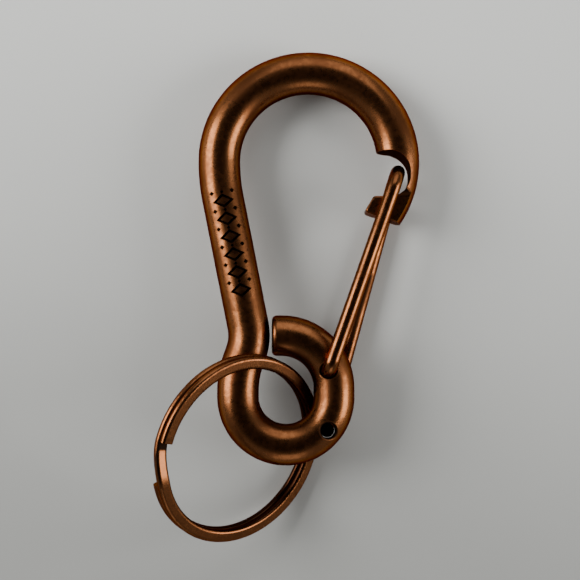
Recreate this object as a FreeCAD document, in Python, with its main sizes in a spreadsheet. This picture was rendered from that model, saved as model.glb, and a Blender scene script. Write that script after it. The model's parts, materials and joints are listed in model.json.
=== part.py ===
import FreeCAD, Part
import math
import os
import Sketcher
from FreeCAD import Placement, Rotation, Vector

# A pocket carabiner with a key ring. It is three pieces: a cast hook whose rod curls round into
# an eye at its foot, one hairpin of spring wire that is the gate, and a two-turn split ring.
# The hook is drawn in its own plane with the centre of its eye at the origin: X to the gate side,
# Y up the spine and Z towards the front. It is then laid on the table as it rests, its eye
# lifted by the ring that runs under it.

doc = FreeCAD.newDocument("carabiner_keyring")
sheet = doc.addObject("Spreadsheet::Sheet", "sizes")

# Driving dimensions: millimetres and degrees.
DIMENSIONS = [
    # the hook's round rod and the line that it follows
    ("rod_at_tail", 6.4), ("rod_at_nose", 6.8),
    ("eye_radius", 7.54), ("eye_upper_radius", 8.2), ("eye_straight", 1.34),
    ("tail_straight", 1.58), ("tail_rounding", 0.8),
    ("heel_straight", 0.9), ("heel_radius", 14.0),
    ("foot_straight", 1.3), ("foot_lean", 19.7), ("instep_radius", 8.0),
    ("spine_lean", 11.25), ("shoulder_radius", 30.0),
    ("arch_radius", 14.2), ("arch_centre_x", 3.62), ("arch_centre_y", 37.17),
    ("nose_drop", 10.55),
    # the nose: a notch for the gate's loop and a flattened tongue with a retaining tab
    ("notch_right", 19.6), ("notch_top", 38.7), ("notch_bottom", 31.5),
    ("notch_top_radius", 3.5), ("notch_bottom_radius", 3.2),
    ("tongue_thickness", 4.2), ("tongue_top", 33.4), ("tongue_ramp", 1.3),
    ("tab_top_x", 14.1), ("tab_foot_x", 12.3), ("tab_foot_y", 29.0),
    ("nose_tip_x", 21.0), ("nose_tip_y", 26.15), ("corner_rounding", 0.5),
    ("edge_rounding", 0.3),
    # the gate: two legs of one wire, each hooked into its own hole in the eye
    ("gate_wire", 2.26), ("gate_apex_x", 17.77), ("gate_apex_y", 35.47),
    ("front_pivot_x", 6.56), ("front_pivot_y", 4.03),
    ("back_pivot_x", 6.52), ("back_pivot_y", -5.29),
    ("leg_height", 4.8), ("elbow_radius", 1.75), ("loop_radius", 3.35), ("pin_depth", 2.6),
    ("pivot_hole", 2.44), ("hole_floor", 2.9), ("hole_mouth", 0.22),
    # the engraved band on the spine
    ("band_x", -8.45), ("band_y", 23.5), ("band_pitch", 2.85), ("lozenge_length", 2.3),
    ("lozenge_width", 3.4), ("stroke", 0.48), ("band_depth", 0.7), ("band_repeats", 6),
    # the split ring
    ("ring_radius", 14.05), ("ring_wire_width", 2.02), ("ring_wire_height", 1.2),
    ("ring_wire_rounding", 0.55), ("ring_turn_gap", 0.04), ("joggle_angle", 28.0),
    # how the pieces lie at rest
    ("long_axis_turn", 5.63),
    ("hook_x", 0.65), ("hook_y", -15.63), ("hook_z", 7.237), ("hook_pitch", -4.295), ("hook_roll", 0.969),
    ("ring_x", -6.60), ("ring_y", -8.54), ("ring_z", 10.362),
    ("ring_tilt", 39.85), ("ring_heading", 343.35), ("ring_end_turn", 189.0),
]
# Cells worked out from the driving ones: how far cuts reach past the solid, and the band's strokes,
# whose dots are a little over half as wide as a stroke is.
DERIVED = [
    ("centre", "=0"),
    ("notch_mouth", "=arch_centre_x + 4"),
    ("tab_top_y", "=notch_bottom + 0.5"), ("inside_tab", "=tab_foot_x - 6"),
    ("below_tab", "=nose_tip_y - 5"), ("below_nose", "=nose_tip_y - 6"),
    ("tongue_face", "=tongue_thickness / 2"), ("ramp_foot", "=tongue_top - tongue_ramp"),
    ("nose_surface", "=rod_at_nose / 2"), ("clear_of_rod", "=rod_at_nose"),
    ("lozenge_side", "=lozenge_width / 2"), ("lozenge_end", "=lozenge_length / 2"),
    ("island_side", "=lozenge_width / 2 - 1.4 * stroke"), ("island_end", "=lozenge_length / 2 - stroke"),
    ("dot_y", "=band_pitch / 2"), ("dot_side", "=0.6 * stroke"),
    ("dot_low", "=band_pitch / 2 - 0.6 * stroke"), ("dot_high", "=band_pitch / 2 + 0.6 * stroke"),
    ("edge_dot_x", "=lozenge_width / 2 - 0.1"),
    ("edge_dot_inner", "=lozenge_width / 2 - 0.1 - 0.8 * stroke"),
    ("edge_dot_outer", "=lozenge_width / 2 - 0.1 + 0.8 * stroke"),
    ("edge_dot_low", "=band_pitch / 2 - 0.8 * stroke"),
    ("edge_dot_high", "=band_pitch / 2 + 0.8 * stroke"),
]
for row, (alias, value) in enumerate(DIMENSIONS + DERIVED, start=1):
    sheet.set("A%d" % row, alias)
    sheet.set("B%d" % row, str(value))
    sheet.setAlias("B%d" % row, alias)
doc.recompute()


def size(alias):
    """The value of one cell of the sheet."""
    return float(sheet.get(alias))


def plane_of(body, role):
    """One of a body's own origin planes."""
    return next(f for f in body.Origin.OriginFeatures if f.Role == role)


def new_sketch(body, role, name, offset=Placement()):
    """A sketch of this body on one of its origin planes."""
    sketch = body.newObject("Sketcher::SketchObject", name)
    sketch.AttachmentSupport = [(plane_of(body, role), "")]
    sketch.MapMode = "FlatFace"
    sketch.AttachmentOffset = offset
    return sketch


def line(x1, y1, x2, y2):
    return Part.LineSegment(Vector(x1, y1, 0), Vector(x2, y2, 0))


def arc(cx, cy, radius, start, end):
    """An arc that runs anticlockwise between two angles in degrees."""
    circle = Part.Circle(Vector(cx, cy, 0), Vector(0, 0, 1), radius)
    return Part.ArcOfCircle(circle, math.radians(start), math.radians(end))


def hold(sketch, expression, *constraint):
    """Add a measured constraint that follows an expression on the sheet."""
    index = sketch.addConstraint(Sketcher.Constraint(*constraint))
    name = "size_%d" % index
    sketch.renameConstraint(index, name)
    sketch.setExpression("Constraints." + name, expression)


def signed(cell):
    """The value and expression of a cell's name, or of its negative such as "-stroke"."""
    alias = cell.lstrip("-")
    if cell.startswith("-"):
        return -size(alias), "-sizes." + alias
    return size(alias), "sizes." + alias


def outline(sketch, corners):
    """A closed ring of straight lines whose corners are pairs of cells."""
    first = len(sketch.Geometry)
    count = len(corners)
    points = [(signed(x)[0], signed(y)[0]) for x, y in corners]
    for i, (x, y) in enumerate(points):
        sketch.addGeometry(line(x, y, *points[(i + 1) % count]), False)
    for i, pair in enumerate(corners):
        sketch.addConstraint(
            Sketcher.Constraint("Coincident", first + i, 2, first + (i + 1) % count, 1))
        for kind, cell in zip(("DistanceX", "DistanceY"), pair):
            value, expression = signed(cell)
            if value:
                hold(sketch, expression, kind, -1, 1, first + i, 1, value)
            else:
                axis = -2 if kind == "DistanceX" else -1
                sketch.addConstraint(Sketcher.Constraint("PointOnObject", first + i, 1, axis))


def round_section(body, role, name, diameter, offset):
    """A circle across the start of a pipe's path."""
    sketch = new_sketch(body, role, name, offset)
    sketch.addGeometry(Part.Circle(Vector(), Vector(0, 0, 1), size(diameter) / 2), False)
    sketch.addConstraint(Sketcher.Constraint("Coincident", 0, 3, -1, 1))
    hold(sketch, "sizes." + diameter, "Diameter", 0, size(diameter))
    return sketch


# ---- hook body: one casting, a round rod from the tail of the eye to the nose

def leaning(angle):
    """The upward direction that leans left of the hook's Y axis by an angle."""
    return Vector(-math.sin(math.radians(angle)), math.cos(math.radians(angle)), 0)


def bend(start, way_in, way_out, radius):
    """The centre, corner and end of the arc that turns from one direction to another."""
    turn = way_in.getAngle(way_out)
    reach = radius * math.tan(turn / 2)
    corner = start + way_in * reach
    inward = (way_out - way_in).normalize()
    centre = corner + inward * (radius / math.cos(turn / 2))
    return centre, corner + way_out * reach


def arc_between(centre, start, end):
    """The anticlockwise arc about a centre from one point to another."""
    first = math.degrees(math.atan2(start.y - centre.y, start.x - centre.x))
    last = math.degrees(math.atan2(end.y - centre.y, end.x - centre.x))
    radius = (start - centre).Length
    return arc(centre.x, centre.y, radius, first, last if last > first else last + 360)


def straight(start, end):
    return Part.LineSegment(start, end)


def draw_rod_line(sketch):
    """The rod's centre line, from the tail's end round the eye, up the spine and over the arch."""
    low, high = size("eye_radius"), size("eye_upper_radius")
    rise = size("eye_straight")
    upper = Vector(low - high, rise, 0)
    crown = upper + Vector(0, high, 0)
    tail = crown - Vector(size("tail_straight"), 0, 0)
    right_top, right_foot = Vector(low, rise, 0), Vector(low, 0, 0)
    left = Vector(-low, 0, 0)
    up, foot, spine = Vector(0, 1, 0), leaning(-size("foot_lean")), leaning(size("spine_lean"))
    heel_start = left + up * size("heel_straight")
    heel, heel_end = bend(heel_start, up, foot, size("heel_radius"))
    instep_start = heel_end + foot * size("foot_straight")
    instep, instep_end = bend(instep_start, foot, spine, size("instep_radius"))
    # the shoulder arc leaves the spine's line and closes on the arch from outside
    arch = Vector(size("arch_centre_x"), size("arch_centre_y"), 0)
    outward = Vector(-spine.y, spine.x, 0)
    gap = size("shoulder_radius") - size("arch_radius")
    across = size("shoulder_radius") - (instep_end - arch).dot(outward)
    shoulder = arch - outward * across - spine * math.sqrt(gap ** 2 - across ** 2)
    spine_end = shoulder + outward * size("shoulder_radius")
    arch_start = shoulder + (arch - shoulder) * (size("shoulder_radius") / gap)
    drop = size("nose_drop")
    nose = arch + Vector(math.sqrt(size("arch_radius") ** 2 - drop ** 2), -drop, 0)
    sketch.addGeometry([
        straight(tail, crown),
        arc_between(upper, right_top, crown),
        straight(right_top, right_foot),
        arc_between(Vector(), left, right_foot),
        straight(left, heel_start),
        arc_between(heel, heel_end, heel_start),
        straight(heel_end, instep_start),
        arc_between(instep, instep_start, instep_end),
        straight(instep_end, spine_end),
        arc_between(shoulder, arch_start, spine_end),
        arc_between(arch, nose, arch_start)], False)
    # each piece of the line runs smoothly into the next: (piece, its end, next, its end)
    joins = [(0, 2, 1, 2), (1, 1, 2, 1), (2, 2, 3, 2), (3, 1, 4, 1), (4, 2, 5, 2), (5, 1, 6, 1),
             (6, 2, 7, 1), (7, 2, 8, 1), (8, 2, 9, 2), (9, 1, 10, 2)]
    for join in joins:
        sketch.addConstraint(Sketcher.Constraint("Tangent", *join))
    sketch.addConstraint(Sketcher.Constraint("Coincident", 3, 3, -1, 1))
    for upright in (2, 4):
        sketch.addConstraint(Sketcher.Constraint("Vertical", upright))
    sketch.addConstraint(Sketcher.Constraint("Horizontal", 0))
    for piece, alias in ((1, "eye_upper_radius"), (3, "eye_radius"), (5, "heel_radius"),
                         (7, "instep_radius"), (9, "shoulder_radius"), (10, "arch_radius")):
        hold(sketch, "sizes." + alias, "Radius", piece, size(alias))
    for piece, alias in ((0, "tail_straight"), (2, "eye_straight"), (4, "heel_straight"),
                         (6, "foot_straight")):
        hold(sketch, "sizes." + alias, "Distance", piece, size(alias))
    hold(sketch, "(90 - sizes.foot_lean) * 1 deg", "Angle", 6,
         math.radians(90 - size("foot_lean")))
    hold(sketch, "(90 + sizes.spine_lean) * 1 deg", "Angle", 8,
         math.radians(90 + size("spine_lean")))
    hold(sketch, "sizes.arch_centre_x", "DistanceX", -1, 1, 10, 3, arch.x)
    hold(sketch, "sizes.arch_centre_y", "DistanceY", -1, 1, 10, 3, arch.y)
    hold(sketch, "sizes.nose_drop", "DistanceY", 10, 1, 10, 3, drop)
    return tail, nose, arch


hook = doc.addObject("PartDesign::Body", "hook_body")
rod_line = new_sketch(hook, "XY_Plane", "rod_line")
tail_end, nose_end, arch_centre = draw_rod_line(rod_line)
doc.recompute()
tail_section = round_section(
    hook, "YZ_Plane", "tail_section", "rod_at_tail",
    Placement(Vector(tail_end.y, 0, tail_end.x), Rotation()))
nose_turn = math.degrees(math.atan2(nose_end.y - arch_centre.y, nose_end.x - arch_centre.x))
nose_section = round_section(
    hook, "XZ_Plane", "nose_section", "rod_at_nose",
    Placement(Vector(nose_end.x, 0, -nose_end.y), Rotation(Vector(0, 1, 0), nose_turn)))
doc.recompute()
rod = hook.newObject("PartDesign::AdditivePipe", "rod")
rod.Profile = tail_section
rod.Spine = (rod_line, [""])
rod.Sections = [(nose_section, [""])]
rod.Transformation = "Multisection"
rod.Mode = "Frenet"
doc.recompute()


def fillet_edges(body, base, name, alias, wanted):
    """Round the edges of the last feature whose middle satisfies a test."""
    names = []
    for number, edge in enumerate(base.Shape.Edges, start=1):
        middle = edge.valueAt((edge.FirstParameter + edge.LastParameter) / 2)
        if wanted(edge, middle):
            names.append("Edge%d" % number)
    fillet = body.newObject("PartDesign::Fillet", name)
    fillet.Base = (base, names)
    fillet.setExpression("Radius", "sizes." + alias)
    doc.recompute()
    return fillet


def pocket(body, sketch, name, length=None, reverse=False, both_ways=False):
    """A pocket from the sketch, right through or to a length on the sheet."""
    before = body.Shape.Volume
    cut = body.newObject("PartDesign::Pocket", name)
    cut.Profile = sketch
    cut.Reversed = reverse
    cut.Midplane = both_ways
    if length:
        cut.Type = 0
        cut.setExpression("Length", length)
    else:
        cut.Type = 1
    doc.recompute()
    if not body.Shape.Volume < before - 0.01:
        raise RuntimeError(name + " cut nothing")
    return cut


fillet_edges(hook, rod, "tail_round", "tail_rounding",
             lambda edge, middle: abs(middle.x - tail_end.x) < 0.01 and middle.y > 3)

# the notch in the nose takes the loop of the gate; its mouth opens to the inside of the arch
mouth = size("notch_mouth")
notch_line = new_sketch(hook, "XY_Plane", "notch_line")
right, top, bottom = size("notch_right"), size("notch_top"), size("notch_bottom")
upper, lower = size("notch_top_radius"), size("notch_bottom_radius")
notch_line.addGeometry([
    line(mouth, top, right - upper, top),
    arc(right - upper, top - upper, upper, 0, 90),
    line(right, top - upper, right, bottom + lower),
    arc(right - lower, bottom + lower, lower, -90, 0),
    line(right - lower, bottom, mouth, bottom),
    line(mouth, bottom, mouth, top)], False)
for join in ((0, 2, 1, 2), (1, 1, 2, 1), (2, 2, 3, 2), (3, 1, 4, 1)):
    notch_line.addConstraint(Sketcher.Constraint("Tangent", *join))
for join in ((4, 2, 5, 1), (5, 2, 0, 1)):
    notch_line.addConstraint(Sketcher.Constraint("Coincident", *join))
notch_line.addConstraint(Sketcher.Constraint("Horizontal", 0))
notch_line.addConstraint(Sketcher.Constraint("Horizontal", 4))
notch_line.addConstraint(Sketcher.Constraint("Vertical", 2))
notch_line.addConstraint(Sketcher.Constraint("Vertical", 5))
hold(notch_line, "sizes.notch_top_radius", "Radius", 1, upper)
hold(notch_line, "sizes.notch_bottom_radius", "Radius", 3, lower)
hold(notch_line, "sizes.notch_right", "DistanceX", -1, 1, 2, 1, right)
hold(notch_line, "sizes.notch_top", "DistanceY", -1, 1, 0, 1, top)
hold(notch_line, "sizes.notch_bottom", "DistanceY", -1, 1, 4, 1, bottom)
hold(notch_line, "sizes.notch_mouth", "DistanceX", -1, 1, 5, 1, mouth)
doc.recompute()
pocket(hook, notch_line, "notch", both_ways=True)


# the nose ends in a face square to the gate, and its tab stops short of the arch's inner line
nose_end_line = new_sketch(hook, "XY_Plane", "nose_end_line")
outline(nose_end_line, [
    ("tab_top_x", "tab_top_y"), ("tab_foot_x", "tab_foot_y"), ("nose_tip_x", "nose_tip_y"),
    ("nose_tip_x", "below_tab"), ("inside_tab", "below_tab"), ("inside_tab", "tab_top_y")])
doc.recompute()
pocket(hook, nose_end_line, "nose_end", both_ways=True)

# front and back of the nose are flattened to a tongue that the two legs straddle
for sign, name in (("", "tongue_front"), ("-", "tongue_back")):
    tongue_line = new_sketch(hook, "YZ_Plane", name + "_line")
    outline(tongue_line, [
        ("tongue_top", sign + "clear_of_rod"), ("tongue_top", sign + "nose_surface"),
        ("ramp_foot", sign + "tongue_face"), ("below_nose", sign + "tongue_face"),
        ("below_nose", sign + "clear_of_rod")])
    doc.recompute()
    tongue_cut = pocket(hook, tongue_line, name, reverse=True)

half_tongue = size("tongue_face")


def on_nose(edge):
    """Whether a straight edge belongs to the tongue's end."""
    ends = [vertex.Point for vertex in edge.Vertexes]
    return (edge.Curve.TypeId == "Part::GeomLine"
            and all(p.x > mouth and p.y < size("notch_bottom") + 0.01 for p in ends)
            and all(abs(p.z) < half_tongue + 0.01 for p in ends))


nose_corners = fillet_edges(
    hook, tongue_cut, "nose_corners", "corner_rounding",
    lambda edge, middle: on_nose(edge) and abs(middle.z) < 0.01 and middle.x < size("tab_top_x"))
fillet_edges(
    hook, nose_corners, "nose_edges", "edge_rounding",
    lambda edge, middle: on_nose(edge) and abs(middle.z) > half_tongue - 0.01
    and middle.y < size("notch_bottom") - 0.2)


def pivot_hole(name, place, floor):
    """A round hole across the eye's rod, open at the front, down to a floor or right through."""
    sketch = new_sketch(hook, "XY_Plane", name + "_line",
                        Placement(Vector(0, 0, size("rod_at_nose")), Rotation()))
    x, y = size(place + "_x"), size(place + "_y")
    sketch.addGeometry(Part.Circle(Vector(x, y, 0), Vector(0, 0, 1), size("pivot_hole") / 2), False)
    hold(sketch, "sizes.pivot_hole", "Diameter", 0, size("pivot_hole"))
    hold(sketch, "sizes." + place + "_x", "DistanceX", -1, 1, 0, 3, x)
    hold(sketch, "sizes." + place + "_y", "DistanceY", -1, 1, 0, 3, y)
    doc.recompute()
    return pocket(hook, sketch, name, floor)


pivot_hole("front_hole", "front_pivot", "sizes.rod_at_nose - sizes.rod_at_tail / 2 + sizes.hole_floor")
back_hole = pivot_hole("back_hole", "back_pivot", None)
fillet_edges(
    hook, back_hole, "hole_rims", "hole_mouth",
    lambda edge, middle: any(
        abs(math.hypot(middle.x - size(p + "_x"), middle.y - size(p + "_y"))
            - size("pivot_hole") / 2) < 0.01 and abs(middle.z) > 2
        and edge.Length > size("pivot_hole") for p in ("front_pivot", "back_pivot")))

# an engraved band of lozenges runs down the front of the spine, from its lowest one upwards
up_spine = leaning(size("spine_lean")) * (size("band_pitch") * (size("band_repeats") - 1) / 2)
band_line = new_sketch(hook, "XY_Plane", "band_line", Placement(
    Vector(size("band_x") - up_spine.x, size("band_y") - up_spine.y, size("rod_at_nose")),
    Rotation(Vector(0, 0, 1), size("spine_lean"))))
for left, right, low, high, middle in (
        ("-lozenge_side", "lozenge_side", "-lozenge_end", "lozenge_end", "centre"),
        ("-island_side", "island_side", "-island_end", "island_end", "centre"),
        ("-dot_side", "dot_side", "dot_low", "dot_high", "dot_y")):
    outline(band_line, [(left, middle), ("centre", low), (right, middle), ("centre", high)])
for sign in ("", "-"):
    outline(band_line, [
        (sign + "edge_dot_inner", "dot_y"), (sign + "edge_dot_x", "edge_dot_low"),
        (sign + "edge_dot_outer", "dot_y"), (sign + "edge_dot_x", "edge_dot_high")])
doc.recompute()
band = pocket(hook, band_line, "band",
              "sizes.rod_at_nose - (sizes.rod_at_tail + sizes.rod_at_nose) / 4 + sizes.band_depth")
band_row = hook.newObject("PartDesign::LinearPattern", "band_row")
band_row.Originals = [band]
band_row.Direction = (band_line, ["V_Axis"])
band_row.setExpression("Length", "sizes.band_pitch * (sizes.band_repeats - 1)")
band_row.setExpression("Occurrences", "sizes.band_repeats")
hook.Tip = band_row
doc.recompute()


# ---- gate: one hairpin of spring wire, made as its two legs, which meet in the loop's middle

def draw_leg_line(sketch, reach):
    """A leg's centre line: a pin, an elbow, the leg and half of the loop at the apex."""
    height, elbow, loop = size("leg_height"), size("elbow_radius"), size("loop_radius")
    pin_end = size("rod_at_tail") / 2 - size("pin_depth")
    elbow_centre = Vector(elbow, height - elbow, 0)
    loop_centre = Vector(reach - loop, 0, 0)
    # the leg touches the elbow and the loop from outside
    between = loop_centre - elbow_centre
    slope = math.atan2(between.y, between.x) + math.asin((loop - elbow) / between.Length)
    outward = Vector(-math.sin(slope), math.cos(slope), 0)
    leg_start = elbow_centre + outward * elbow
    leg_end = loop_centre + outward * loop
    sketch.addGeometry([
        straight(Vector(0, pin_end, 0), Vector(0, elbow_centre.y, 0)),
        arc_between(elbow_centre, leg_start, Vector(0, elbow_centre.y, 0)),
        straight(leg_start, leg_end),
        arc_between(loop_centre, Vector(reach, 0, 0), leg_end)], False)
    for join in ((0, 2, 1, 2), (1, 1, 2, 1), (2, 2, 3, 2)):
        sketch.addConstraint(Sketcher.Constraint("Tangent", *join))
    sketch.addConstraint(Sketcher.Constraint("Vertical", 0))
    sketch.addConstraint(Sketcher.Constraint("PointOnObject", 0, 1, -2))
    sketch.addConstraint(Sketcher.Constraint("PointOnObject", 3, 3, -1))
    sketch.addConstraint(Sketcher.Constraint("PointOnObject", 3, 1, -1))
    hold(sketch, "sizes.elbow_radius", "Radius", 1, elbow)
    hold(sketch, "sizes.loop_radius", "Radius", 3, loop)
    hold(sketch, "sizes.rod_at_tail / 2 - sizes.pin_depth", "DistanceY", -1, 1, 0, 1, pin_end)
    hold(sketch, "sizes.leg_height - sizes.elbow_radius", "DistanceY", -1, 1, 1, 3,
         elbow_centre.y)
    return pin_end


def gate_leg(label, pivot, flipped):
    """One leg of the gate, from the pin in its own hole to the middle of the loop."""
    body = doc.addObject("PartDesign::Body", label)
    from_pivot = Vector(size("gate_apex_x") - size(pivot + "_x"),
                        size("gate_apex_y") - size(pivot + "_y"), 0)
    leg_line = new_sketch(body, "XZ_Plane", label + "_line")
    pin_end = draw_leg_line(leg_line, from_pivot.Length)
    hold(leg_line, "sqrt((sizes.gate_apex_x - sizes.%s_x)^2 + (sizes.gate_apex_y - sizes.%s_y)^2)"
         % (pivot, pivot), "DistanceX", -1, 1, 3, 1, from_pivot.Length)
    section = round_section(body, "XY_Plane", label + "_section", "gate_wire",
                            Placement(Vector(0, 0, pin_end), Rotation()))
    doc.recompute()
    wire = body.newObject("PartDesign::AdditivePipe", label + "_wire")
    wire.Profile = section
    wire.Spine = (leg_line, [""])
    doc.recompute()
    turn = math.degrees(math.atan2(from_pivot.y, from_pivot.x))
    over = Rotation(Vector(1, 0, 0), 180 if flipped else 0)
    place = Placement(Vector(size(pivot + "_x"), size(pivot + "_y"), 0),
                      Rotation(Vector(0, 0, 1), turn) * over)
    return body, place


gate_front, gate_front_place = gate_leg("gate_wire_front", "front_pivot", False)
gate_back, gate_back_place = gate_leg("gate_wire_back", "back_pivot", True)


# ---- split ring: two flat turns of one flattened wire, joined by a short sloping joggle

def ring_wire():
    """The wire swept round its two turns, with its ends cut square."""
    radius = size("ring_radius")
    rise = (size("ring_wire_height") + size("ring_turn_gap")) / 2
    slope = math.radians(size("joggle_angle"))

    def turn(height, first, last):
        circle = Part.Circle(Vector(0, 0, height), Vector(0, 0, 1), radius)
        return Part.ArcOfCircle(circle, first, last).toShape()

    steps = 8
    points = []
    for i in range(steps + 1):
        share = i / steps
        eased = share * share * (3 - 2 * share)
        angle = -slope + slope * share
        points.append(Vector(radius * math.cos(angle), radius * math.sin(angle),
                             rise - 2 * rise * eased))
    joggle = Part.BSplineCurve()
    joggle.interpolate(points, InitialTangent=Vector(math.sin(slope), math.cos(slope), 0),
                       FinalTangent=Vector(0, 1, 0))
    path = Part.Wire([turn(rise, 0, 2 * math.pi - slope), joggle.toShape(),
                      turn(-rise, 0, 2 * math.pi - slope)])
    # the section stands on the wire's start, its width along X and its height along Z
    corner = size("ring_wire_rounding")
    across, up = size("ring_wire_width") / 2 - corner, size("ring_wire_height") / 2 - corner
    edges = []
    for x, y, first in ((1, 1, 0), (-1, 1, 90), (-1, -1, 180), (1, -1, 270)):
        edges.append(arc(x * across, y * up, corner, first, first + 90).toShape())
    corners = [edge.Vertexes for edge in edges]
    sides = [straight(corners[i][1].Point, corners[(i + 1) % 4][0].Point).toShape()
             for i in range(4)]
    section = Part.Wire(Part.__sortEdges__(edges + sides))
    section.Placement = Placement(Vector(radius, 0, rise), Rotation(Vector(1, 0, 0), 90))
    sweep = Part.BRepOffsetAPI.MakePipeShell(path)
    sweep.setBiNormalMode(Vector(0, 0, 1))
    sweep.add(section, False, False)
    sweep.build()
    sweep.makeSolid()
    # the joggle lies anticlockwise of the end that shows
    return sweep.shape().mirror(Vector(), Vector(0, 1, 0))


ring = doc.addObject("Part::Feature", "split_ring")
ring.Shape = ring_wire()


# ---- at rest: the ring lies tilted under the eye and the hook leans on it

lie = (Rotation(Vector(1, 0, 0), size("hook_pitch")) * Rotation(Vector(0, 1, 0), size("hook_roll"))
       * Rotation(Vector(0, 0, 1), size("long_axis_turn")))
hook_place = Placement(Vector(size("hook_x"), size("hook_y"), size("hook_z")), lie)
heading = Rotation(Vector(0, 0, 1), size("ring_heading"))
ring_turn = heading * Rotation(Vector(0, 1, 0), size("ring_tilt"))
ring_turn = ring_turn * Rotation(Vector(0, 0, 1), size("ring_end_turn"))
hook.Placement = hook_place
gate_front.Placement = hook_place * gate_front_place
gate_back.Placement = hook_place * gate_back_place
ring.Placement = Placement(
    Vector(size("hook_x") + size("ring_x"), size("hook_y") + size("ring_y"), size("ring_z")), ring_turn)
doc.recompute()

for item in doc.Objects:
    if "Invalid" in item.State or "Error" in item.State:
        raise RuntimeError(item.Name + " failed: " + str(item.State))
os.makedirs("parts", exist_ok=True)
for piece in (hook, gate_front, gate_back, ring):
    shape = piece.Shape
    if shape.isNull() or not shape.isValid() or len(shape.Solids) != 1:
        raise RuntimeError(piece.Label + " is not one sound solid")
    shape.exportStep("parts/%s.step" % piece.Label)
    print(piece.Label, "volume %.1f mm3" % shape.Volume)
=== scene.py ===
import json
import math
import bpy
from mathutils import Matrix, Vector


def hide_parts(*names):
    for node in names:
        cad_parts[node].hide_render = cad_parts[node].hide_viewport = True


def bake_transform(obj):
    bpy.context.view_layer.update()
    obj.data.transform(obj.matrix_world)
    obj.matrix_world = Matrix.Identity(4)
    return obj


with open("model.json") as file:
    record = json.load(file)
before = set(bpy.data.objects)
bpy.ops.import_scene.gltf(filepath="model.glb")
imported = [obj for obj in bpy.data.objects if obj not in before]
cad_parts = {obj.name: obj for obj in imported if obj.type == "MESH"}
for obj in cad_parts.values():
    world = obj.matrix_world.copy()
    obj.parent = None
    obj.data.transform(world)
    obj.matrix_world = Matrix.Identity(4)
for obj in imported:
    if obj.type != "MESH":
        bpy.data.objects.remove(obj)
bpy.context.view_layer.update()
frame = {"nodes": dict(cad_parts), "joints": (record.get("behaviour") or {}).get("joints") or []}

MM = 0.001


# ---- hook body
# One zinc casting: a round rod curled into an eye at its foot. It is tumbled smooth, plated with
# copper, darkened and rubbed back, so its engraving stays nearly black with patina. Its notch and
# holes are painted nearly black as shade, and the rod's sides near its mid-plane are painted
# darker as shade.
class Value:
    """One output of a material's nodes, with arithmetic that adds Math nodes."""

    def __init__(self, tree, socket):
        self.tree, self.socket = tree, socket

    def node(self, kind, settings=None, out=0, **inputs):
        """Add a node with its settings, then the values or links of its sockets by number."""
        made = self.tree.nodes.new(kind)
        for name, setting in (settings or {}).items():
            setattr(made, name, setting)
        for name, value in inputs.items():
            socket = made.inputs[int(name[1:])] if name[0] == "_" else made.inputs[name]
            if isinstance(value, Value):
                self.tree.links.new(value.socket, socket)
            else:
                socket.default_value = value
        return Value(self.tree, made.outputs[out])

    def maths(self, operation, first, second=0.0):
        return self.node("ShaderNodeMath", {"operation": operation}, _0=first, _1=second)

    def __add__(self, other):
        return self.maths("ADD", self, other)

    def __sub__(self, other):
        return self.maths("SUBTRACT", self, other)

    def __rsub__(self, other):
        return self.maths("SUBTRACT", other, self)

    def __mul__(self, other):
        return self.maths("MULTIPLY", self, other)

    def __pow__(self, other):
        return self.maths("POWER", self, other)

    def __abs__(self):
        return self.maths("ABSOLUTE", self)

    __radd__, __rmul__ = __add__, __mul__

    def most(self, other):
        return self.maths("MAXIMUM", self, other)

    def ease(self, start, end):
        """0 at start and 1 at end, smooth between, whichever of the two is larger."""
        return self.node("ShaderNodeMapRange", {"interpolation_type": "SMOOTHSTEP"},
                         _0=self, _1=start, _2=end, _3=0.0, _4=1.0)

    def blend(self, first, second):
        """The colour that goes from first to second as this value goes from 0 to 1."""
        return self.node("ShaderNodeMix", {"data_type": "RGBA"}, 2, _0=self, _6=first, _7=second)

    def noise(self, scale, detail=2.0):
        """Cloudy values about 0.5 from this place."""
        return self.node("ShaderNodeTexNoise", Vector=self, Scale=scale, Detail=detail)

    def parts(self):
        """The three numbers of this vector."""
        split = self.tree.nodes.new("ShaderNodeSeparateXYZ")
        self.tree.links.new(self.socket, split.inputs[0])
        return [Value(self.tree, output) for output in split.outputs]


def length(*sides):
    """The length of a vector from its sides, each a Value."""
    total = sides[0] * sides[0]
    for side in sides[1:]:
        total = total + side * side
    return total ** 0.5


def start_finish(name, origin, turn):
    """A material, and its Object coordinates both as they are and as seen from a piece's own
    origin and axes."""
    material = bpy.data.materials.new(name)
    material.use_nodes = True
    tree = material.node_tree
    place = Value(tree, tree.nodes.new("ShaderNodeTexCoord").outputs["Object"])
    own = place.node("ShaderNodeMapping", {"vector_type": "TEXTURE"},
                     Vector=place, Location=origin, Rotation=turn.to_euler())
    return material, place, own


RUBBED_COPPER = (0.235, 0.087, 0.032, 1.0)
BROWN_PATINA = (0.125, 0.042, 0.016, 1.0)
# Deep brown patina, also painted as shade on the rod's sides, the gate's loop and the ring's inner
# wall.
DEEP_PATINA_AND_SHADE = (0.042, 0.015, 0.007, 1.0)
# Black patina in engraving, also painted as shade in holes, the notch and the gaps between turns.
BLACK_PATINA_AND_SHADE = (0.016, 0.008, 0.005, 1.0)
EDGE_TINT = (0.45, 0.26, 0.17, 1.0)
CLOUD_SCALE, GRAIN_SCALE, DENT_SCALE, DENT_HEIGHT = 170.0, 1500.0, 230.0, 0.1 * MM


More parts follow.
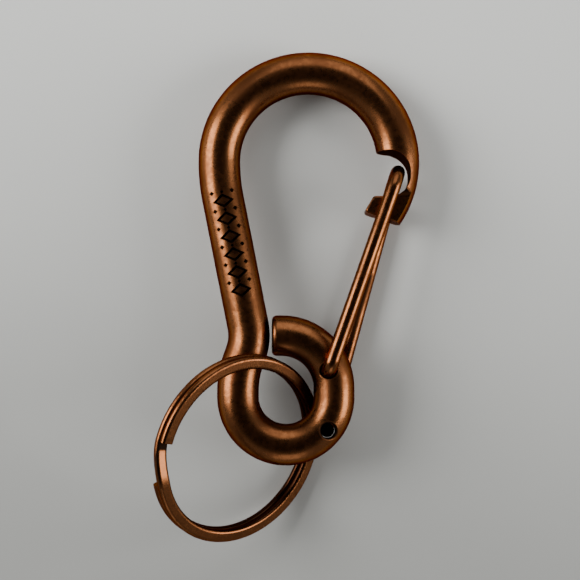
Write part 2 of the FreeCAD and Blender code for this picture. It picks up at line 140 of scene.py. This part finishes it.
def antique_copper(material, place, deep_patina_and_shade, black_patina_and_shade, roughness):
    """Copper plating rubbed back through random clouds of its patina, with soft dents and fine
    scratches. The second mask turns it deep brown, as painted shade and as a little patina of the
    piece's own; the third turns it black, as patina in engraving and as painted shade in holes,
    the notch and the gaps between turns."""
    tree = material.node_tree
    surface = tree.nodes["Principled BSDF"]
    surface.inputs["Metallic"].default_value = 1.0
    surface.inputs["Specular Tint"].default_value = EDGE_TINT
    clouds = place.noise(CLOUD_SCALE, 4.0)
    grain = place.noise(GRAIN_SCALE, 3.0)
    patina = (clouds * 0.7 + grain * 0.3).ease(0.40, 0.64)
    # Painted shade: the patina colour goes deep brown where the second mask is high.
    patina_and_shade_colour = deep_patina_and_shade.blend(BROWN_PATINA, DEEP_PATINA_AND_SHADE)
    patina_and_shade_cover = (patina * 0.75).most(deep_patina_and_shade)
    # Painted shade: black where the third mask is high, and black patina in engraving.
    colour = black_patina_and_shade.blend(patina_and_shade_cover.blend(RUBBED_COPPER, patina_and_shade_colour), BLACK_PATINA_AND_SHADE)
    tree.links.new(colour.socket, surface.inputs["Base Color"])
    rough = patina * 0.09 + grain * 0.10 + black_patina_and_shade * 0.35 + (roughness - 0.08)
    tree.links.new(rough.socket, surface.inputs["Roughness"])
    dents = place.noise(DENT_SCALE) + grain * 0.05
    bump = place.node("ShaderNodeBump", Strength=0.3, Distance=DENT_HEIGHT, Height=dents)
    tree.links.new(bump.socket, surface.inputs["Normal"])


LONG_AXIS_TURN = math.radians(5.63)
FRONT_PIVOT = Vector((6.56, 4.03, 0.0)) * MM
BACK_PIVOT = Vector((6.52, -5.29, 0.0)) * MM
ARCH_CENTRE, ARCH_RADIUS = Vector((3.62, 37.17)) * MM, 14.2 * MM
NOTCH_LOW, NOTCH_DEEP = 31.4 * MM, 3.22 * MM
BAND_CENTRE, BAND_HALF, SPINE_LEAN = Vector((-8.45, 23.5)) * MM, 8.6 * MM, math.radians(11.25)
SPINE_SURFACE, ENGRAVED_FADE, NOTCH_FADE = 3.20 * MM, 0.08 * MM, 0.12 * MM
HOLE_EDGE, HOLE_CLEAR = 1.30 * MM, 1.62 * MM
# How far from the mid-plane the rod's sides are painted darker as shade, and how much.
FLANK_SHADE_CLEAR, FLANK_SHADE_FULL, FLANK_SHADE_SHARE = 2.3 * MM, 0.7 * MM, 0.85

swing = next(joint for joint in frame["joints"] if joint["name"] == "gate_swing")
front = Vector(swing["axis"])
level_along = front.cross(Vector((1, 0, 0))).normalized()
level_across = level_along.cross(front)
across = level_across * math.cos(LONG_AXIS_TURN) + level_along * math.sin(LONG_AXIS_TURN)
hook_turn = Matrix((across, front.cross(across), front)).transposed()
eye_centre = Vector(swing["pos_m"]) - hook_turn @ FRONT_PIVOT
hook_plane = Matrix.Translation(eye_centre) @ hook_turn.to_4x4()

material, place, own = start_finish("hook_antique_copper", eye_centre, hook_turn)
x, y, z = own.parts()
up = (y - BAND_CENTRE.y) * math.cos(SPINE_LEAN) - (x - BAND_CENTRE.x) * math.sin(SPINE_LEAN)
aside = (y - BAND_CENTRE.y) * math.sin(SPINE_LEAN) + (x - BAND_CENTRE.x) * math.cos(SPINE_LEAN)
engraved = abs(up).ease(BAND_HALF * 1.08, BAND_HALF) * length(aside, z).ease(
    SPINE_SURFACE, SPINE_SURFACE - ENGRAVED_FADE)
from_rod_line = length(length(x - ARCH_CENTRE.x, y - ARCH_CENTRE.y) - ARCH_RADIUS, z)
# Painted shade: the notch's walls are blackened.
notch_shade = (from_rod_line.ease(NOTCH_DEEP, NOTCH_DEEP - NOTCH_FADE)
         * y.ease(NOTCH_LOW, NOTCH_LOW + 1.0 * MM) * x.ease(2 * ARCH_CENTRE.x, 2.2 * ARCH_CENTRE.x))
# Painted shade: the walls of the gate's two holes are blackened.
hole_shade = (length(x - FRONT_PIVOT.x, y - FRONT_PIVOT.y).ease(HOLE_CLEAR, HOLE_EDGE) * z.ease(-MM, 0.0)
         ).most(length(x - BACK_PIVOT.x, y - BACK_PIVOT.y).ease(HOLE_CLEAR, HOLE_EDGE))
# Painted shade: the rod's sides near its mid-plane are darkened.
painted_flank_shade = abs(z).ease(FLANK_SHADE_CLEAR, FLANK_SHADE_FULL) * FLANK_SHADE_SHARE
antique_copper(material, place, painted_flank_shade, engraved.most(notch_shade).most(hole_shade), roughness=0.29)
hook = frame["nodes"]["hook_body"]
hook.data.materials.clear()
hook.data.materials.append(material)

# ---- gate
# One hairpin of round spring wire: a pin, an elbow, a leg, the loop at the nose, and back again.
# Its pins sit in the eye's two holes and are painted black there as shade, and its loop is painted
# darker as shade where it sits in the nose's notch.
WIRE, LEG_HEIGHT, ELBOW, LOOP = 2.26 * MM, 4.8 * MM, 1.75 * MM, 3.35 * MM
APEX = Vector((17.77, 35.47, 0.0)) * MM
PIN_REACH, BLEND_REACH = 1.6 * MM, 1.6 * MM
HOLE_MOUTH, HOLE_DARK, LOW_END, LOW_FULL = 3.3 * MM, 2.7 * MM, 20 * MM, 19 * MM
# Squared distances from the mid-plane over which the loop is painted darker as shade.
NOTCH_SHADE_CLEAR, NOTCH_SHADE_FULL = 6.0 * MM * MM, 2.0 * MM * MM
BEND_STEPS, LEG_STEPS = 14, 24


def leg_points(pivot, side):
    """One leg's centre line in the hook's plane, from its pin towards the loop's middle."""
    out = APEX - pivot
    elbow, loop = Vector((ELBOW, LEG_HEIGHT - ELBOW)), Vector((out.length - LOOP, 0.0))
    between = loop - elbow
    slope = math.atan2(between.y, between.x) + math.asin((LOOP - ELBOW) / between.length)
    outward = Vector((-math.sin(slope), math.cos(slope)))
    points = [Vector((0.0, PIN_REACH))]
    for i in range(BEND_STEPS + 1):
        angle = math.pi + (slope - math.pi / 2) * i / BEND_STEPS
        points.append(elbow + ELBOW * Vector((math.cos(angle), math.sin(angle))))
    leg_start, leg_end = elbow + outward * ELBOW, loop + outward * LOOP
    points += [leg_start.lerp(leg_end, i / LEG_STEPS) for i in range(1, LEG_STEPS)]
    for i in range(BEND_STEPS):
        angle = (slope + math.pi / 2) * (1 - i / BEND_STEPS)
        points.append(loop + LOOP * Vector((math.cos(angle), math.sin(angle))))
    return [pivot + out.normalized() * p.x + Vector((0, 0, side)) * p.y for p in points]


line_points = leg_points(FRONT_PIVOT, 1) + [APEX] + leg_points(BACK_PIVOT, -1)[::-1]
bpy.ops.object.select_all(action="DESELECT")
bpy.ops.curve.primitive_nurbs_path_add()
gate = bpy.context.object
gate.name = "gate_wire"
gate.data.splines.clear()
centre_line = gate.data.splines.new("POLY")
centre_line.points.add(len(line_points) - 1)
for point, where in zip(centre_line.points, line_points):
    point.co = (*where, 1.0)
gate.data.bevel_depth = WIRE / 2
gate.data.bevel_resolution = 10
gate.data.use_fill_caps = True
bpy.ops.object.convert(target="MESH")
gate = bpy.context.object
gate.matrix_world = hook_plane
bpy.ops.object.transform_apply(location=True, rotation=True, scale=True)
bpy.ops.object.mode_set(mode="EDIT")
bpy.ops.mesh.select_all(action="SELECT")
bpy.ops.mesh.remove_doubles(threshold=0.00001)
bpy.ops.mesh.normals_make_consistent(inside=False)
bpy.ops.object.mode_set(mode="OBJECT")
bpy.ops.object.shade_smooth_by_angle(angle=math.radians(40))

material, place, own = start_finish("gate_antique_copper", eye_centre, hook_turn)
x, y, z = own.parts()
# Painted shade: the pins are blackened inside the eye's holes.
pin_shade_in_holes = abs(z).ease(HOLE_MOUTH, HOLE_DARK) * y.ease(LOW_END, LOW_FULL)
# Painted shade: the loop is darkened where it sits in the notch.
loop_notch_shade = (z * z).ease(NOTCH_SHADE_CLEAR, NOTCH_SHADE_FULL)
antique_copper(material, place, loop_notch_shade, pin_shade_in_holes, roughness=0.24)
gate.data.materials.clear()
gate.data.materials.append(material)
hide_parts("gate_wire_front", "gate_wire_back")
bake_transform(gate)

# ---- split ring
# Two turns of one flattened steel wire with a joggle between them, plated like the hook and a
# little browner all over with patina. The gap between its turns is painted black as shade, and its
# inner wall is painted darker as shade.
RING_CENTRE = Vector((-6.60, -8.54, 3.125)) * MM
RING_HEADING, RING_TILT = math.radians(343.35), math.radians(39.85)
RING_INSIDE, SEAM, RING_PATINA = 13.04 * MM, 0.07 * MM, 0.35
WALL_CLEAR, WALL_FULL = 0.45 * MM, 0.1 * MM
ring_turn = Matrix.Rotation(RING_HEADING, 3, "Z") @ Matrix.Rotation(RING_TILT, 3, "Y")
material, place, own = start_finish("ring_antique_copper", eye_centre + RING_CENTRE, ring_turn)
x, y, z = own.parts()
# Painted shade: the ring's inner wall is darkened.
inner_wall_shade = length(x, y).ease(RING_INSIDE + WALL_CLEAR, RING_INSIDE + WALL_FULL)
# Painted shade: the gap between the turns is blackened.
turn_gap_shade = abs(z).ease(SEAM * 2, SEAM)
antique_copper(material, place, inner_wall_shade.most(RING_PATINA), turn_gap_shade, roughness=0.25)
ring = frame["nodes"]["split_ring"]
ring.data.materials.clear()
ring.data.materials.append(material)

# ---- table
# A plain pale sheet that the keyring lies on. It is matt, and its colour is painted darker towards
# its near side and paler towards its far side, with a faintly cloudy blend, as painted shade and
# light.
TABLE_SIDE, TABLE_GAP = 3.0, 0.02 * MM
# Painted shade at the sheet's near side and painted light at its far side.
SHADED_NEAR_TABLE, LIT_FAR_TABLE = (0.40, 0.402, 0.380, 1.0), (0.92, 0.925, 0.885, 1.0)
NEAR_EDGE, FAR_EDGE, CLOUD_SHIFT = -60 * MM, 70 * MM, 12 * MM
bpy.ops.object.select_all(action="DESELECT")
bpy.ops.mesh.primitive_plane_add(size=TABLE_SIDE, location=(0, 0, -TABLE_GAP))
table = bpy.context.object
table.name = "table"
material, place, _ = start_finish("pale_table", Vector(), Matrix.Identity(3))
surface = material.node_tree.nodes["Principled BSDF"]
surface.inputs["Roughness"].default_value = 0.8
along = place.parts()[1]
# Painted light and shade: a gradient from the near side to the far side.
painted_light_toward_far = (along + place.noise(22.0, 4.0) * CLOUD_SHIFT).ease(NEAR_EDGE, FAR_EDGE)
colour = painted_light_toward_far.blend(SHADED_NEAR_TABLE, LIT_FAR_TABLE)
material.node_tree.links.new(colour.socket, surface.inputs["Base Color"])
table.data.materials.append(material)

# ---- light and camera
# Soft lamps stand round the table in a dim room, low on the right and near side, with the camera
# overhead. The room is darkest straight above the table.
DARK_CEILING, DIM_WALLS = (0.012, 0.012, 0.012, 1.0), (0.26, 0.265, 0.27, 1.0)
CEILING_HEIGHT, WALL_HEIGHT = 0.92, 0.45
LENS_LENGTH, CAMERA_PLACE, NEAREST = 90.07, Vector((-0.36, 1.05, 235.0)) * MM, 10 * MM
world = bpy.data.worlds.new("dim_room")
bpy.context.scene.world = world
world.use_nodes = True
sky = world.node_tree
toward = Value(sky, sky.nodes.new("ShaderNodeTexCoord").outputs["Generated"])
height = toward.parts()[2]
glow = height.ease(CEILING_HEIGHT, WALL_HEIGHT).blend(DARK_CEILING, DIM_WALLS)
sky.links.new(glow.socket, sky.nodes["Background"].inputs["Color"])
for name, direction, distance, size, power in (
        ("left_window", (-0.82, 0.16, 0.50), 0.75, 0.46, 6.0),
        ("right_window", (0.90, 0.02, 0.36), 0.75, 0.40, 3.6),
        ("back_lamp", (0.05, 0.85, 0.50), 0.80, 0.60, 1.8),
        ("near_lamp", (0.15, -0.90, 0.35), 0.80, 0.40, 0.5)):
    lamp = bpy.data.lights.new(name, "AREA")
    lamp.size, lamp.energy = size, power
    holder = bpy.data.objects.new(name, lamp)
    holder.location = Vector(direction).normalized() * distance
    holder.rotation_euler = Vector(direction).to_track_quat("Z", "Y").to_euler()
    bpy.context.scene.collection.objects.link(holder)
camera = bpy.data.objects.new("camera", bpy.data.cameras.new("camera"))
camera.data.lens = LENS_LENGTH
camera.data.clip_start = NEAREST
camera.location = CAMERA_PLACE
camera.rotation_euler = (0, 0, LONG_AXIS_TURN)
bpy.context.scene.collection.objects.link(camera)
bpy.context.scene.camera = camera
